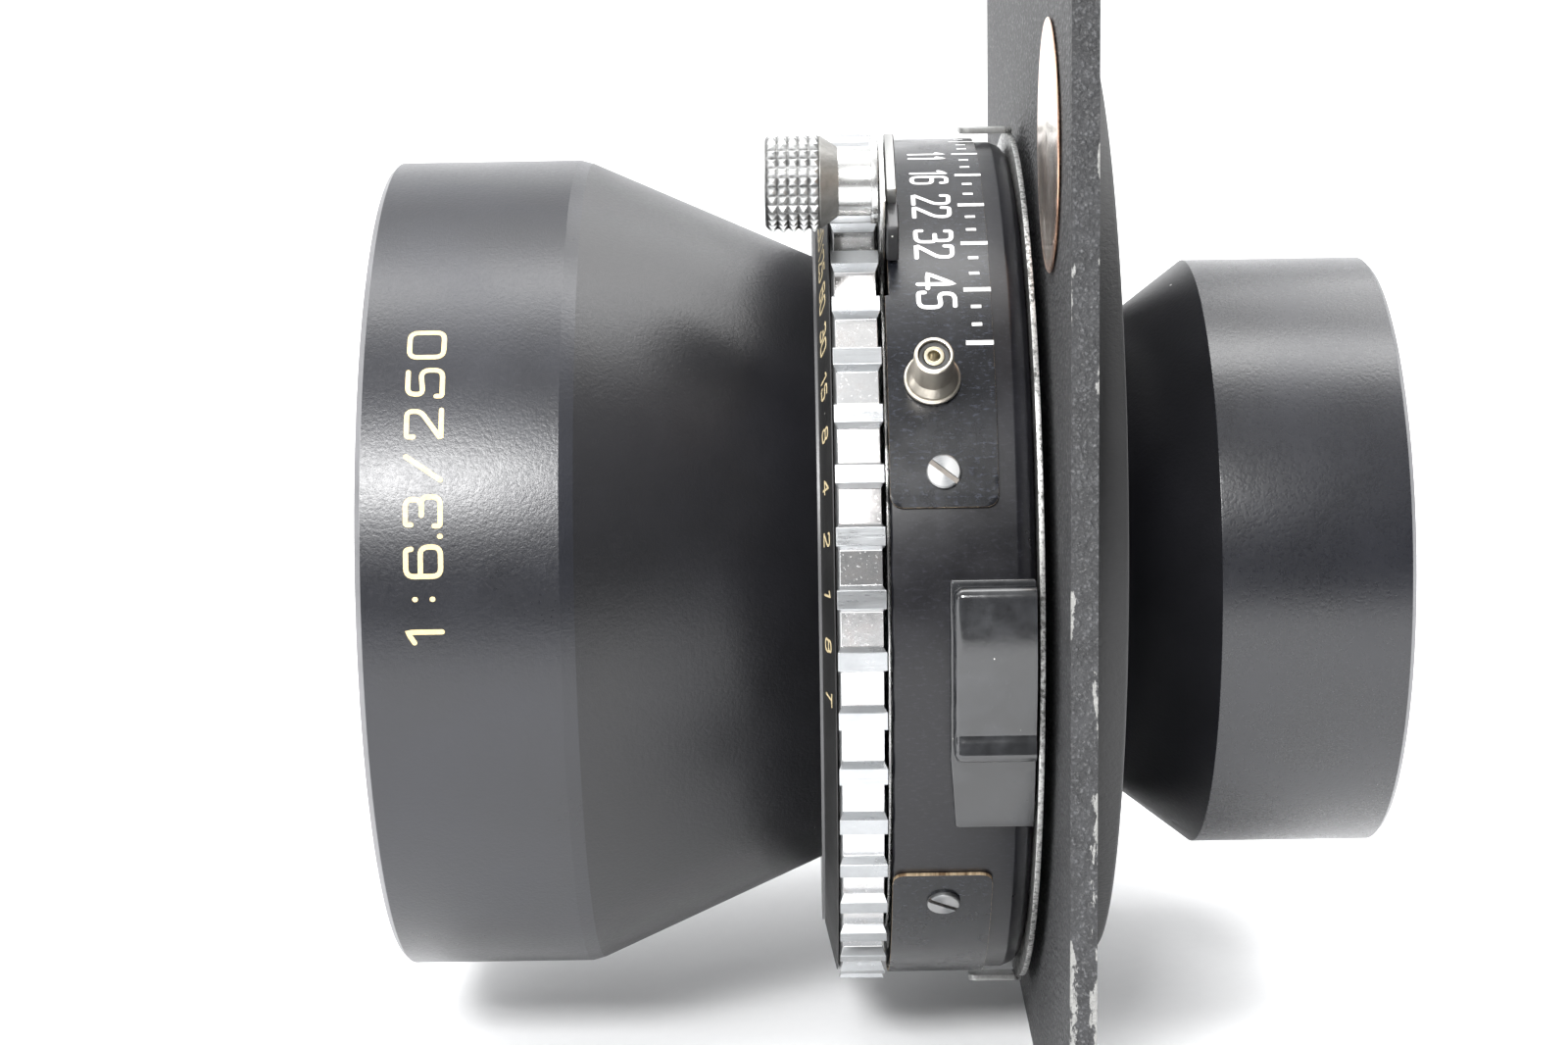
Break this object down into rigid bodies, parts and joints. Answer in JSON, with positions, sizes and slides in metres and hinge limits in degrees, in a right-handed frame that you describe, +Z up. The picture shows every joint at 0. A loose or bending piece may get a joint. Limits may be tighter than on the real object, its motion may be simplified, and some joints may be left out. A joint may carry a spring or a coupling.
{
  "type": "large format camera lens in shutter on lens board",
  "caption": "Large-format lens in a leaf shutter on a flat lens board: stepped conical front barrel, serrated speed ring, cocking knob, aperture scale, sync socket and tapered rear barrel.",
  "frame": {"origin": "on the optical axis, in the plane of the lens board's rear face", "axes": "+X along the optical axis towards the rear of the lens, +Z up along the board's long side, -Y the side with the aperture scale and the sync socket"},
  "size_m": [0.0836, 0.096, 0.099],
  "materials": {
    "black_anodised": "satin black anodised, turned",
    "black_enamel": "satin black enamel",
    "crinkle_paint": "black crinkle paint with worn edges",
    "black_plastic": "gloss black, moulded",
    "bright_aluminium": "fine turned, bright",
    "nickel_plate": "bright nickel plate",
    "polished_badge": "polished, with a copper tone at its rim",
    "brass": "turned",
    "dark_steel": "blackened spring steel",
    "coated_glass": "polished, single layer coating"
  },
  "bodies": {
    "lens_and_board": {"front_barrel": "black_anodised", "front_retaining_ring": "black_anodised", "front_element_outer": "coated_glass", "front_element_flint": "coated_glass", "front_spacer_ring": "black_anodised", "front_element_inner": "coated_glass", "front_inner_retainer": "black_anodised", "shutter_housing": "black_enamel", "mechanism_plate": "bright_aluminium", "back_plate": "bright_aluminium", "front_cover": "bright_aluminium", "aperture_scale_plate": "black_enamel", "scale_plate_screw_1": "nickel_plate", "scale_plate_screw_2": "nickel_plate", "lower_plate": "black_enamel", "lower_plate_screw_1": "nickel_plate", "lower_plate_screw_2": "nickel_plate", "sync_socket_shell": "nickel_plate", "sync_socket_insulator": "black_plastic", "sync_socket_contact": "brass", "cocking_spring": "dark_steel", "release_pivot_pin": "dark_steel", "cable_release_socket": "nickel_plate", "press_focus_track": "black_plastic", "shutter_base_ring": "dark_steel", "iris_base_ring": "dark_steel", "lens_board": "crinkle_paint", "board_badge": "polished_badge", "locating_screw": "nickel_plate", "retaining_ring": "black_anodised", "rear_barrel": "black_anodised", "rear_element_inner": "coated_glass", "rear_inner_retainer": "black_anodised", "rear_element_flint": "coated_glass", "rear_element_outer": "coated_glass", "rear_retaining_ring": "black_anodised"},
    "speed_ring": {"speed_ring": "bright_aluminium", "speed_dial": "black_enamel", "speed_cam_plate": "dark_steel"},
    "cocking_lever": {"cocking_lever": "nickel_plate", "cocking_knob": "nickel_plate", "cocking_lever_cover": "black_plastic"},
    "aperture_ring": {"aperture_ring": "nickel_plate", "iris_drive_ring": "dark_steel"},
    "press_focus": {"press_focus_slider": "black_plastic", "shutter_drive_ring": "dark_steel"},
    "release_lever": {"release_lever": "nickel_plate", "release_lever_tip": "black_plastic"},
    "iris_blade_1": {"iris_blade_1": "dark_steel"},
    "iris_blade_2": {"iris_blade_2": "dark_steel"},
    "iris_blade_3": {"iris_blade_3": "dark_steel"},
    "iris_blade_4": {"iris_blade_4": "dark_steel"},
    "iris_blade_5": {"iris_blade_5": "dark_steel"},
    "iris_blade_6": {"iris_blade_6": "dark_steel"},
    "iris_blade_7": {"iris_blade_7": "dark_steel"},
    "shutter_blade_1": {"shutter_blade_1": "dark_steel"},
    "shutter_blade_2": {"shutter_blade_2": "dark_steel"},
    "shutter_blade_3": {"shutter_blade_3": "dark_steel"},
    "shutter_blade_4": {"shutter_blade_4": "dark_steel"},
    "shutter_blade_5": {"shutter_blade_5": "dark_steel"}
  },
  "joints": [
    {"name": "speed_ring_turn", "type": "hinge", "parent": "lens_and_board", "child": "speed_ring", "pos_m": [0, 0, 0], "axis": [1, 0, 0], "range_deg": [-62.5, 13.9]},
    {"name": "cocking_lever_swing", "type": "hinge", "parent": "lens_and_board", "child": "cocking_lever", "pos_m": [0, 0, 0], "axis": [1, 0, 0], "range_deg": [-46, 0], "stiffness_Nm_per_rad": 0.08, "springref_deg": 22.92},
    {"name": "aperture_ring_turn", "type": "hinge", "parent": "lens_and_board", "child": "aperture_ring", "pos_m": [0, 0, 0], "axis": [1, 0, 0], "range_deg": [0, 53.3]},
    {"name": "press_focus_slide", "type": "hinge", "parent": "lens_and_board", "child": "press_focus", "pos_m": [0, 0, 0], "axis": [1, 0, 0], "range_deg": [0, 9]},
    {"name": "release_lever_swing", "type": "hinge", "parent": "lens_and_board", "child": "release_lever", "pos_m": [-0.00555, 0.03034, 0.00986], "axis": [1, 0, 0], "range_deg": [0, 12], "stiffness_Nm_per_rad": 0.03, "springref_deg": -22.92},
    {"name": "iris_blade_1_pivot", "type": "hinge", "parent": "lens_and_board", "child": "iris_blade_1", "pos_m": [-0.008, 0.027, 0], "axis": [1, 0, 0], "range_deg": [0, 30.6]},
    {"name": "iris_blade_2_pivot", "type": "hinge", "parent": "lens_and_board", "child": "iris_blade_2", "pos_m": [-0.008, 0.01683, 0.02111], "axis": [1, 0, 0], "range_deg": [0, 30.6]},
    {"name": "iris_blade_3_pivot", "type": "hinge", "parent": "lens_and_board", "child": "iris_blade_3", "pos_m": [-0.008, -0.00601, 0.02632], "axis": [1, 0, 0], "range_deg": [0, 30.6]},
    {"name": "iris_blade_4_pivot", "type": "hinge", "parent": "lens_and_board", "child": "iris_blade_4", "pos_m": [-0.008, -0.02433, 0.01171], "axis": [1, 0, 0], "range_deg": [0, 30.6]},
    {"name": "iris_blade_5_pivot", "type": "hinge", "parent": "lens_and_board", "child": "iris_blade_5", "pos_m": [-0.008, -0.02433, -0.01171], "axis": [1, 0, 0], "range_deg": [0, 30.6]},
    {"name": "iris_blade_6_pivot", "type": "hinge", "parent": "lens_and_board", "child": "iris_blade_6", "pos_m": [-0.008, -0.00601, -0.02632], "axis": [1, 0, 0], "range_deg": [0, 30.6]},
    {"name": "iris_blade_7_pivot", "type": "hinge", "parent": "lens_and_board", "child": "iris_blade_7", "pos_m": [-0.008, 0.01683, -0.02111], "axis": [1, 0, 0], "range_deg": [0, 30.6]},
    {"name": "shutter_blade_1_pivot", "type": "hinge", "parent": "lens_and_board", "child": "shutter_blade_1", "pos_m": [-0.011, 0.0304, 0], "axis": [1, 0, 0], "range_deg": [-31.7, 0]},
    {"name": "shutter_blade_2_pivot", "type": "hinge", "parent": "lens_and_board", "child": "shutter_blade_2", "pos_m": [-0.011, 0.00939, 0.02891], "axis": [1, 0, 0], "range_deg": [-31.7, 0]},
    {"name": "shutter_blade_3_pivot", "type": "hinge", "parent": "lens_and_board", "child": "shutter_blade_3", "pos_m": [-0.011, -0.02459, 0.01787], "axis": [1, 0, 0], "range_deg": [-31.7, 0]},
    {"name": "shutter_blade_4_pivot", "type": "hinge", "parent": "lens_and_board", "child": "shutter_blade_4", "pos_m": [-0.011, -0.02459, -0.01787], "axis": [1, 0, 0], "range_deg": [-31.7, 0]},
    {"name": "shutter_blade_5_pivot", "type": "hinge", "parent": "lens_and_board", "child": "shutter_blade_5", "pos_m": [-0.011, 0.00939, -0.02891], "axis": [1, 0, 0], "range_deg": [-31.7, 0]}
  ],
  "couplings": [
    {"joint": "iris_blade_1_pivot", "follows": "aperture_ring_turn", "ratio": 0.5723},
    {"joint": "iris_blade_2_pivot", "follows": "aperture_ring_turn", "ratio": 0.5723},
    {"joint": "iris_blade_3_pivot", "follows": "aperture_ring_turn", "ratio": 0.5723},
    {"joint": "iris_blade_4_pivot", "follows": "aperture_ring_turn", "ratio": 0.5723},
    {"joint": "iris_blade_5_pivot", "follows": "aperture_ring_turn", "ratio": 0.5723},
    {"joint": "iris_blade_6_pivot", "follows": "aperture_ring_turn", "ratio": 0.5723},
    {"joint": "iris_blade_7_pivot", "follows": "aperture_ring_turn", "ratio": 0.5723},
    {"joint": "shutter_blade_1_pivot", "follows": "press_focus_slide", "ratio": -3.511},
    {"joint": "shutter_blade_2_pivot", "follows": "press_focus_slide", "ratio": -3.511},
    {"joint": "shutter_blade_3_pivot", "follows": "press_focus_slide", "ratio": -3.511},
    {"joint": "shutter_blade_4_pivot", "follows": "press_focus_slide", "ratio": -3.511},
    {"joint": "shutter_blade_5_pivot", "follows": "press_focus_slide", "ratio": -3.511}
  ]
}
